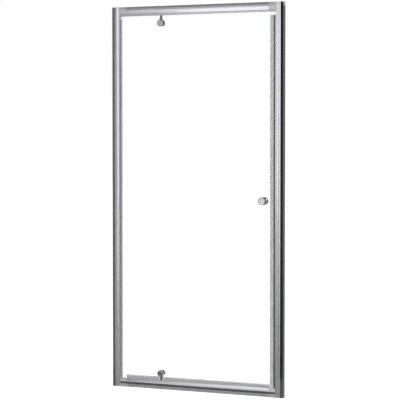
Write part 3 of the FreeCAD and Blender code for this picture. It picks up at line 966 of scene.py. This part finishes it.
@dataclass(frozen=True)
class PaintedShadeStrip:
    """A thin strip with a round front along a rail, darker than the rail, that paints the shade
    along it.
    """

    name: str
    end: str
    front: float
    back: float
    low: float
    high: float
    slices: int = 8
    inset: float = 0.1 * MM
    bulge: float = 0.4
    weld: float = 0.001 * MM
    sharp: float = 35.0

    def build(self, finish: bpy.types.Material, slot: str) -> bpy.types.Object:
        """Draws the strip from post to post, through both corner joints.

        Args:
            finish: Its material.
            slot: The record's material slot; not used.

        Returns:
            The strip's object.
        """
        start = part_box(f"corner_joint_{self.end}_left")[0].x + self.inset
        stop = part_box(f"corner_joint_{self.end}_right")[1].x - self.inset
        middle = (self.low + self.high) / 2
        half = (self.high - self.low) / 2
        section = [(self.back, self.low), (self.back, self.high)]
        for index in range(self.slices + 1):
            angle = math.pi / 2 - math.pi * index / self.slices
            depth = self.front + half * self.bulge * (1 - math.cos(angle))
            section.append((depth, middle + half * math.sin(angle)))
        shape = bmesh.new()
        rows = [[shape.verts.new((x, y, z)) for y, z in section] for x in (start, stop)]
        count = len(section)
        for index in range(count):
            after = (index + 1) % count
            shape.faces.new((rows[0][index], rows[1][index], rows[1][after], rows[0][after]))
        for row in rows:
            shape.faces.new(row)
        bmesh.ops.remove_doubles(shape, verts=shape.verts[:], dist=self.weld)
        bmesh.ops.recalc_face_normals(shape, faces=shape.faces[:])
        mesh = bpy.data.meshes.new(self.name)
        shape.to_mesh(mesh)
        shape.free()
        mesh.shade_smooth()
        mesh.set_sharp_from_angle(angle=math.radians(self.sharp))
        piece = new_object(self.name, mesh, finish)
        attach(piece, "frame")
        LOG.info("%s: %d faces", piece.name, len(mesh.polygons))
        return piece


@dataclass(frozen=True)
class EasedCopy:
    """A CAD node's own form with its edges broken, as a cutter, a mould or a belt leaves them.

    Faces that are at least as broad, in square metres, stay flat. Crisp and level are degrees.
    """

    node: str
    body: str
    slot: str
    finish: str
    width: float = 0.4 * MM
    rounds: int = 2
    crisp: float = 35.0
    broad: float = 0.01
    weld: float = 0.003 * MM
    level: float = 0.5

    def build(
        self, nodes: dict[str, bpy.types.Object], wardrobe: "Wardrobe"
    ) -> bpy.types.Object:
        """Copies the node and eases its edges.

        Args:
            nodes: The CAD nodes by name.
            wardrobe: The finishes.

        Returns:
            The eased piece.
        """
        shape = bmesh.new()
        shape.from_mesh(nodes[self.node].data)
        bmesh.ops.remove_doubles(shape, verts=shape.verts[:], dist=self.weld)
        bmesh.ops.dissolve_limit(
            shape,
            angle_limit=math.radians(self.level),
            verts=shape.verts[:],
            edges=shape.edges[:],
            delimit={"NORMAL"},
        )
        mesh = bpy.data.meshes.new(f"{self.node}_eased")
        shape.to_mesh(mesh)
        shape.free()
        mesh.materials.clear()
        piece = new_object(f"{self.node}_eased", mesh, wardrobe.made[self.finish])
        for face in mesh.polygons:
            face.material_index = 0
            face.use_smooth = face.area < self.broad
        ease = piece.modifiers.new("ease", "BEVEL")
        ease.width = self.width
        ease.segments = self.rounds
        ease.limit_method = "ANGLE"
        ease.angle_limit = math.radians(self.crisp)
        ease.use_clamp_overlap = True
        ease.harden_normals = True
        settle(piece, self.body, self.slot, self.node)
        return piece


class Seen(Enum):
    """The rays that a board is there for."""

    FRONT = "metal that faces the room"
    BEHIND = "bright metal that faces the shower, seen past the glass"


class Facing(Enum):
    """The way a board faces."""

    UP = (0.0, 0.0, 1.0)
    DOWN = (0.0, 0.0, -1.0)
    LEFT = (-1.0, 0.0, 0.0)
    RIGHT = (1.0, 0.0, 0.0)
    ROOM = (0.0, -1.0, 0.0)
    SHOWER = (0.0, 1.0, 0.0)


@dataclass(frozen=True)
class Card:
    """A board that only metal reflects, as a photographer sets round bright metal.

    Its glow runs from the left tone to the right one between the two ends of its ramp.
    """

    name: str
    centre: Point
    facing: Facing
    size: tuple[float, float]
    tones: tuple[float, float]
    ramp: tuple[float, float] = (-1.0, 1.0)
    seen: Seen = Seen.FRONT
    colour: Colour = (1.0, 1.0, 1.02)

    def build(self) -> bpy.types.Object:
        """Builds the board.

        Returns:
            The board's object.
        """
        mesh = bpy.data.meshes.new(self.name)
        turn = Vector(self.facing.value).to_track_quat("Z", "Y").to_matrix().to_4x4()
        shape = bmesh.new()
        bmesh.ops.create_grid(shape, x_segments=1, y_segments=1, size=0.5)
        scale = Matrix.Diagonal((*self.size, 1.0, 1.0))
        shape.transform(Matrix.Translation(self.centre) @ turn @ scale)
        shape.to_mesh(mesh)
        shape.free()
        board = new_object(self.name, mesh, self.paint())
        board.visible_camera = False
        board.visible_diffuse = False
        board.visible_transmission = self.seen is Seen.BEHIND
        board.visible_shadow = False
        return board

    def paint(self) -> bpy.types.Material:
        """Builds the board's glow, and lets through the rays that it isn't there for.

        Returns:
            The finished material.
        """
        recipe = Recipe(self.name)
        place = recipe.add("NewGeometry")
        spot = recipe.add("SeparateXYZ", {0: place.outputs["Position"]})
        blend = recipe.add(
            "MapRange",
            {
                "Value": spot.outputs["X"],
                "From Min": self.ramp[0],
                "From Max": self.ramp[1],
                "To Min": self.tones[0],
                "To Max": self.tones[1],
            },
        )
        glow = recipe.add(
            "Emission", {"Color": (*self.colour, 1.0), "Strength": blend.outputs["Result"]}
        )
        path = recipe.add("LightPath")
        if self.seen is Seen.FRONT:
            absent = path.outputs["Is Singular Ray"]
        else:
            both = recipe.add(
                "Math",
                {0: path.outputs["Transmission Depth"], 1: path.outputs["Glossy Depth"]},
                operation="MULTIPLY",
            )
            neither = recipe.add("Math", {0: both.outputs[0], 1: 0.5}, operation="LESS_THAN")
            absent = neither.outputs[0]
        clear = recipe.add("BsdfTransparent")
        pick = recipe.add("MixShader", {0: absent, 1: glow.outputs[0], 2: clear.outputs[0]})
        return recipe.close(pick.outputs[0])


@dataclass(frozen=True)
class Lamp:
    """A soft square lamp."""

    name: str
    place: Point
    aim: Point
    size: float
    watts: float

    def build(self) -> bpy.types.Object:
        """Builds the lamp.

        Returns:
            The lamp's object.
        """
        data = bpy.data.lights.new(self.name, "AREA")
        data.size = self.size
        data.energy = self.watts
        lamp = bpy.data.objects.new(self.name, data)
        lamp.location = self.place
        lamp.rotation_mode = "QUATERNION"
        lamp.rotation_quaternion = (Vector(self.aim) - Vector(self.place)).to_track_quat("-Z", "Y")
        lamp.visible_camera = False
        lamp.visible_glossy = False
        bpy.context.scene.collection.objects.link(lamp)
        return lamp


@dataclass(frozen=True)
class Studio:
    """White studio: a pale floor, boards for the metal to reflect, soft lamps and the camera.

    Turn and tilt are the camera's, in degrees.
    """

    floor_size: float = 60.0
    floor_drop: float = 0.4 * MM
    floor_fibre: float = 4 * MM
    floor_fleck: float = 0.99
    floor_tone: float = 0.8
    floor_glow: float = 0.6
    ambient: float = 0.62
    eye: Point = (3.364, -7.091, 1.241)
    turn: float = 25.27
    tilt: float = -2.34
    lens: float = 148.0
    sensor: float = 36.0
    clip: tuple[float, float] = (0.1, 200.0)

    def build_world(self) -> None:
        """Sets the even white surroundings."""
        world = bpy.data.worlds.new("white_studio")
        bpy.context.scene.world = world
        tree = Tree(world)
        level = tree.add(
            "MapRange", {"Value": tree.background(), "To Min": self.ambient, "To Max": 1.0}
        )
        glow = tree.add(
            "Background", {"Color": (1.0, 1.0, 1.0, 1.0), "Strength": level.outputs["Result"]}
        )
        tree.add("OutputWorld", {"Surface": glow.outputs[0]})

    def build_floor(self) -> bpy.types.Object:
        """Builds the pale floor, which glows for the rays that show the background.

        Returns:
            The floor's object.
        """
        mesh = bpy.data.meshes.new("floor")
        shape = bmesh.new()
        bmesh.ops.create_grid(shape, x_segments=1, y_segments=1, size=self.floor_size / 2)
        shape.transform(Matrix.Translation((0.0, 0.0, -self.floor_drop)))
        shape.to_mesh(mesh)
        shape.free()
        recipe = Recipe("floor_paper")
        fibre = recipe.grain(self.floor_fibre)
        tone = self.floor_tone
        colour = recipe.tint(fibre, (tone * self.floor_fleck,) * 3, (tone,) * 3)
        paper = recipe.add("BsdfDiffuse", {"Color": colour})
        glow = recipe.add("Emission", {"Strength": self.floor_glow})
        lit = recipe.add("AddShader", {0: paper.outputs[0], 1: glow.outputs[0]})
        pick = recipe.add(
            "MixShader", {0: recipe.background(), 1: paper.outputs[0], 2: lit.outputs[0]}
        )
        floor = new_object("floor", mesh, recipe.close(pick.outputs[0]))
        return floor

    def boards(self) -> Sequence[Card]:
        """Lists the boards round the object.

        Returns:
            The boards.
        """
        return (
            Card("floor_board", (-1.0, -4.0, 0.0015), Facing.UP, (9.0, 8.0), (0.2, 0.2)),
            Card("roof_board", (0.0, 0.1, 1.95), Facing.DOWN, (2.6, 1.1), (0.2, 0.2)),
            Card(
                "far_board",
                (-0.5, -2.0, 1.38),
                Facing.SHOWER,
                (5.0, 1.26),
                (0.58, 1.0),
                ramp=(0.0, 0.4),
            ),
            Card("near_board", (-0.04, -0.5, 1.56), Facing.SHOWER, (0.58, 1.5), (1.03, 1.03)),
            Card("left_board", (-0.85, -0.49, 0.95), Facing.RIGHT, (0.8, 2.2), (0.26, 0.26)),
            Card("slim_board", (0.339, -0.6, 0.95), Facing.SHOWER, (0.12, 2.2), (0.04, 0.04)),
            Card("right_board", (0.95, -0.25, 0.95), Facing.LEFT, (1.1, 2.2), (0.2, 0.2)),
            Card("rear_board", (0.0, 2.0, 1.1), Facing.ROOM, (6.0, 1.8), (0.55, 0.3)),
            Card("rear_floor", (0.0, 4.0, 0.0015), Facing.UP, (9.0, 8.0), (0.45, 0.3)),
            Card(
                "back_board",
                (-0.1, 0.3, 0.95),
                Facing.ROOM,
                (1.26, 2.1),
                (0.4, 0.07),
                ramp=(-0.3, 0.2),
                seen=Seen.BEHIND,
            ),
        )

    def lamps(self) -> Sequence[Lamp]:
        """Lists the lamps round the object.

        Returns:
            The lamps.
        """
        return (
            Lamp("key_lamp", (2.6, -3.4, 3.2), (0.0, 0.0, 0.9), 1.8, 60.0),
            Lamp("fill_lamp", (-3.2, -3.0, 2.2), (0.0, 0.0, 0.9), 2.2, 35.0),
        )

    def build_camera(self) -> bpy.types.Object:
        """Sets the camera at the photograph's angle.

        Returns:
            The camera's object.
        """
        data = bpy.data.cameras.new("camera")
        data.sensor_width = self.sensor
        data.lens = self.lens
        data.clip_start, data.clip_end = self.clip
        camera = bpy.data.objects.new("camera", data)
        camera.location = self.eye
        camera.rotation_euler = (math.radians(90.0 + self.tilt), 0.0, math.radians(self.turn))
        bpy.context.scene.collection.objects.link(camera)
        bpy.context.scene.camera = camera
        return camera

    def build(self) -> None:
        """Builds the whole studio."""
        bpy.context.scene.view_settings.view_transform = "Standard"
        self.build_world()
        self.build_floor()
        for board in self.boards():
            board.build()
        for lamp in self.lamps():
            lamp.build()
        self.build_camera()
        LOG.info("studio: %d boards, %d lamps", len(self.boards()), len(self.lamps()))


@dataclass(frozen=True)
class Wardrobe:
    """All the finishes, each made once."""

    made: dict[str, bpy.types.Material]

    @classmethod
    def stocked(cls) -> "Wardrobe":
        """Makes every finish of the door.

        Returns:
            The filled wardrobe.
        """
        finishes = (
            Aluminium("aluminium_upright", Run.UPRIGHT),
            Aluminium("aluminium_level", Run.LEVEL),
            # Painted shade: a darker copy of the same aluminium for the wall channels, whose
            # darkness stands in for the shade and dark reflection in the gap beside the posts.
            Aluminium(
                "aluminium_channel_painted_shade",
                Run.UPRIGHT,
                (0.34, 0.34, 0.355),
                (0.42, 0.42, 0.435),
                smooth=0.04,
                rough=0.08,
                depth=0.0005 * MM,
            ),
            Chrome(),
            # Painted shade: a darker copy of the polished chrome for the pivot stems, standing in
            # for their dark reflections.
            Chrome("chrome_painted_shade", (0.24, 0.245, 0.255), (0.3, 0.305, 0.315)),
            Moulding(
                "joint_grey", (0.58, 0.585, 0.595), (0.64, 0.645, 0.655), 0.55, 0.32, 0.46
            ),
            # Painted shade: the grey of the strip at the top rail's foot, where the overhang
            # shades it.
            Moulding("painted_shade_grey", (0.6, 0.605, 0.62), (0.68, 0.685, 0.7), 0.75, 0.3, 0.42),
            Moulding("bearing_plastic", (0.78, 0.78, 0.77), (0.86, 0.86, 0.85)),
            Moulding(
                "magnet_strip", (0.008, 0.008, 0.01), (0.02, 0.02, 0.024), smooth=0.45, rough=0.65
            ),
            Moulding(
                "gasket_rubber", (0.1, 0.1, 0.105), (0.16, 0.16, 0.165), smooth=0.45, rough=0.65
            ),
            ZincPlate(),
            Glass(),
            SoftSeal("seal_closing", Run.UPRIGHT, CLOSING_BAND),
            SoftSeal("seal_hinge", Run.UPRIGHT, HINGE_BAND),
            SoftSeal(
                "seal_level",
                Run.LEVEL,
                DRIP_BAND,
                (0.5, 0.505, 0.515),
                (0.58, 0.585, 0.595),
                thin=0.7,
                thick=0.8,
            ),
        )
        return cls({finish.name: finish.make() for finish in finishes})

    def dress(
        self, nodes: dict[str, bpy.types.Object], finish: str, names: Iterable[str]
    ) -> None:
        """Gives a finish to CAD nodes.

        Args:
            nodes: The CAD nodes by name.
            finish: The finish's name.
            names: The nodes that get it.
        """
        for name in names:
            node = nodes[name]
            node.data.materials.clear()
            node.data.materials.append(self.made[finish])
            for face in node.data.polygons:
                face.material_index = 0
            LOG.info("%s: %s", name, finish)


SIDES = ("left", "right")
ENDS = ("top", "bottom")

DRESSED: dict[str, tuple[str, ...]] = {
    "aluminium_upright": ("post_left", "post_right"),
    # Painted shade: the wall channels take the darkened copy of the aluminium.
    "aluminium_channel_painted_shade": ("wall_channel_left", "wall_channel_right"),
    "aluminium_level": ("top_rail", "bottom_rail"),
    "joint_grey": (
        *(f"jamb_cap_{side}" for side in SIDES),
        *(f"snap_caps_{side}" for side in SIDES),
        *(f"corner_joint_{end}_{side}" for end in ENDS for side in SIDES),
    ),
    "zinc_steel": (
        *(f"fixing_screws_{side}" for side in SIDES),
        *(f"corner_screws_{end}_{side}" for end in ENDS for side in SIDES),
        *(f"{end}_clamp_screw" for end in ENDS),
        "knob_stud",
    ),
    "magnet_strip": ("strike_magnet", "closing_magnet"),
    "bearing_plastic": (
        *(f"{end}_pivot_bush" for end in ENDS),
        *(f"{end}_pivot_block" for end in ENDS),
    ),
    "clear_glass": ("glass_pane",),
    "polished_chrome": (
        *(f"{end}_pivot_stem" for end in ENDS),
        *(f"{end}_clamp_{face}" for end in ENDS for face in ("front", "back")),
        "knob_front",
        "knob_back",
    ),
    "gasket_rubber": (
        *(f"{end}_gasket_{face}" for end in ENDS for face in ("front", "back")),
        "knob_washer_front",
        "knob_washer_back",
    ),
    "seal_closing": ("closing_seal",),
    "seal_hinge": ("hinge_seal",),
    "seal_level": ("drip_seal_short", "drip_seal_long"),
}


# Each strip with its finish and its slot in the record. Both strips are painted shade: a grey one
# at the top rail's set-back foot under the overhang, and a dark one in the bottom rail's undercut.
PAINTED_SHADE_STRIPS: tuple[tuple[PaintedShadeStrip, str, str], ...] = (
    # Painted shade: a grey strip at the top rail's set-back foot, under its overhang.
    (
        PaintedShadeStrip("top_rail_painted_shade", "top", -13.6 * MM, -11.45 * MM, 1805.6 * MM, 1813.6 * MM),
        "painted_shade_grey",
        "grey_moulding",
    ),
    # Painted shade: a dark strip in the bottom rail's undercut, where shade falls.
    (
        PaintedShadeStrip("bottom_rail_painted_shade", "bottom", -8.5 * MM, -4.45 * MM, 16.1 * MM, 25.9 * MM),
        "gasket_rubber",
        "gasket_rubber",
    ),
)


def main() -> None:
    """Builds the dressed door in its studio."""
    logging.basicConfig(level=logging.INFO, format="%(name)s %(message)s")
    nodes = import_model()["nodes"]
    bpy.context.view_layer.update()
    Studio().build()
    wardrobe = Wardrobe.stocked()
    for finish, names in DRESSED.items():
        wardrobe.dress(nodes, finish, names)
    chrome = wardrobe.made["polished_chrome"]
    for side, face in ((-1, "front"), (1, "back")):
        Knob(f"knob_{face}", side).build(chrome)
        for end in ENDS:
            ClampDisc(end, face, side).build(chrome)
    for end in ENDS:
        ClampScrew(end).build(wardrobe.made["zinc_steel"])
        # Painted shade: the stems are polished chrome, drawn with the darkened copy.
        stem = EasedCopy(f"{end}_pivot_stem", "door", "polished_chrome", "chrome_painted_shade")
        stem.build(nodes, wardrobe)
    for side in SIDES:
        SnapCaps(side).build(wardrobe.made["joint_grey"])
        cap = EasedCopy(f"jamb_cap_{side}", "frame", "grey_moulding", "joint_grey", 0.5 * MM)
        cap.build(nodes, wardrobe)
    pane = EasedCopy("glass_pane", "door", "clear_glass", "clear_glass", 0.5 * MM)
    pane.build(nodes, wardrobe)
    for shade_strip, finish, slot in PAINTED_SHADE_STRIPS:
        shade_strip.build(wardrobe.made[finish], slot)


if __name__ == "__main__":
    main()
